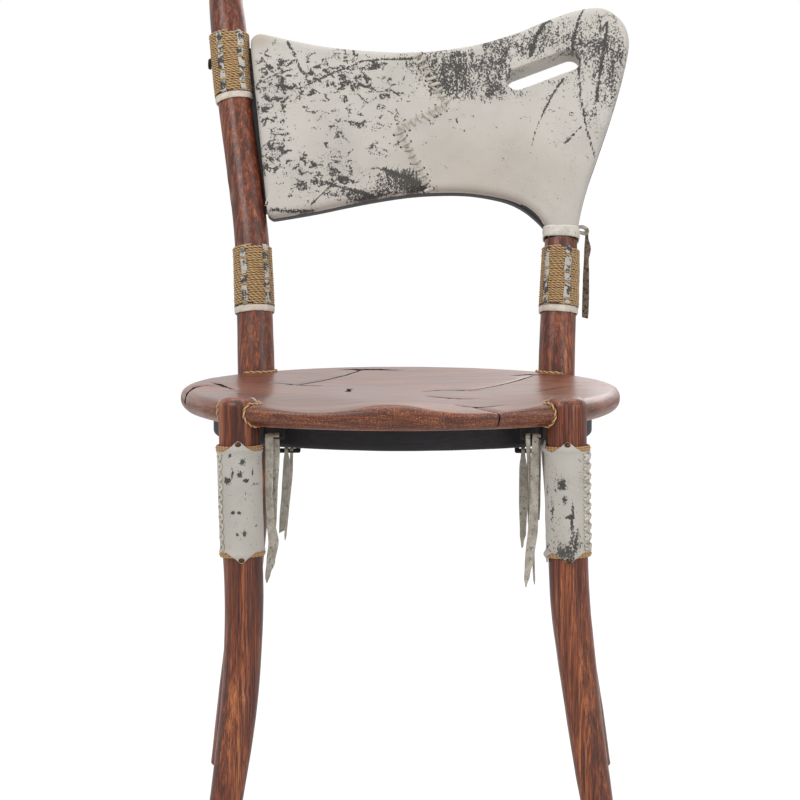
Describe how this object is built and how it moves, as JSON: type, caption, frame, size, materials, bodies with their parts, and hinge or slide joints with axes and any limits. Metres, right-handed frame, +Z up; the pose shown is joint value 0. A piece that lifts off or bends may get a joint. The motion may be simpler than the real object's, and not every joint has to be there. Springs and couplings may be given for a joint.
{
  "type": "carved chair with hide-covered back",
  "caption": "Low carved wooden chair: an oval dished seat on outward-leaning poles, with a leaning hide-covered back panel, a grab slot, rope bindings and laced hide sleeves.",
  "frame": {"origin": "centre of the footprint of the whole chair's box, on the floor", "axes": "+X to the right of somebody standing in front of the chair, +Y towards the back panel, +Z up"},
  "size_m": [0.5022, 0.5504, 0.9055],
  "materials": {
    "seat_wood": "polished",
    "pole_wood": "waxed",
    "board_black": "black stain",
    "panel_wood": "black stain",
    "hide": "short hair",
    "hide_lacing": "matt",
    "rope": "twisted fibre",
    "cord": "twisted fibre",
    "band": "matt",
    "thong": "suede",
    "thong_cord": "suede",
    "tack": "darkened",
    "bolt": "black",
    "screw": "plain",
    "dowel": "raw"
  },
  "bodies": {
    "chair": {"seat": "seat_wood", "seat_board": "board_black", "board_screws": "screw", "leg_dowels": "dowel", "seat_trim_front_left": "cord", "seat_trim_front_right": "cord", "seat_trim_rear_left": "cord", "seat_trim_rear_right": "cord", "thong_cord_front_left": "thong_cord", "thong_cord_rear_left": "thong_cord", "thong_cord_front_right": "thong_cord", "thong_cord_rear_right": "thong_cord", "panel_bolt": "bolt", "panel_peg": "dowel", "neck_peg": "dowel", "back_panel": "panel_wood", "back_hide_left": "hide", "back_hide_right": "hide", "back_lacing": "hide_lacing", "neck_collar": "band", "collar_knot": "thong_cord", "rope_binding_upper": "rope", "rope_binding_lower_left": "rope", "rope_binding_lower_right": "rope", "weave_strips_upper": "hide", "weave_strips_lower_left": "hide", "weave_strips_lower_right": "hide", "leather_band_upper": "band", "leather_band_lower_left": "band", "leather_band_lower_right": "band", "leg_sleeve_left": "hide", "leg_sleeve_right": "hide", "sleeve_cords_left": "cord", "sleeve_cords_right": "cord", "sleeve_lacing_left": "hide_lacing", "sleeve_lacing_right": "hide_lacing", "sleeve_tacks_left": "tack", "sleeve_tacks_right": "tack", "front_leg_left": "pole_wood", "front_leg_right": "pole_wood", "rear_post_left": "pole_wood", "rear_post_right": "pole_wood"},
    "fringe_left_front": {"thong_left_long": "thong", "thong_left_narrow": "thong"},
    "fringe_left_rear": {"thong_left_slant": "thong", "thong_left_thin": "thong"},
    "fringe_right_front": {"thong_right_long": "thong", "thong_right_short": "thong", "thong_right_thin": "thong"},
    "fringe_right_rear": {"thong_right_inner": "thong", "thong_right_second": "thong"},
    "tie_tail": {"tie_strip": "thong"}
  },
  "joints": [
    {"name": "fringe_left_front_swing", "type": "hinge", "parent": "chair", "child": "fringe_left_front", "pos_m": [-0.14039, -0.20125, 0.4268], "axis": [-1, 0, 0], "range_deg": [-8, 45]},
    {"name": "fringe_left_rear_swing", "type": "hinge", "parent": "chair", "child": "fringe_left_rear", "pos_m": [-0.12779, -0.15525, 0.4068], "axis": [-1, 0, 0], "range_deg": [-15, 8]},
    {"name": "fringe_right_front_swing", "type": "hinge", "parent": "chair", "child": "fringe_right_front", "pos_m": [0.12931, -0.20125, 0.4268], "axis": [-1, 0, 0], "range_deg": [-8, 45]},
    {"name": "fringe_right_rear_swing", "type": "hinge", "parent": "chair", "child": "fringe_right_rear", "pos_m": [0.12441, -0.15525, 0.4068], "axis": [-1, 0, 0], "range_deg": [-15, 8]},
    {"name": "tie_tail_swing", "type": "hinge", "parent": "chair", "child": "tie_tail", "pos_m": [0.20091, 0.16875, 0.6215], "axis": [-1, 0, 0], "range_deg": [-40, 40]}
  ]
}
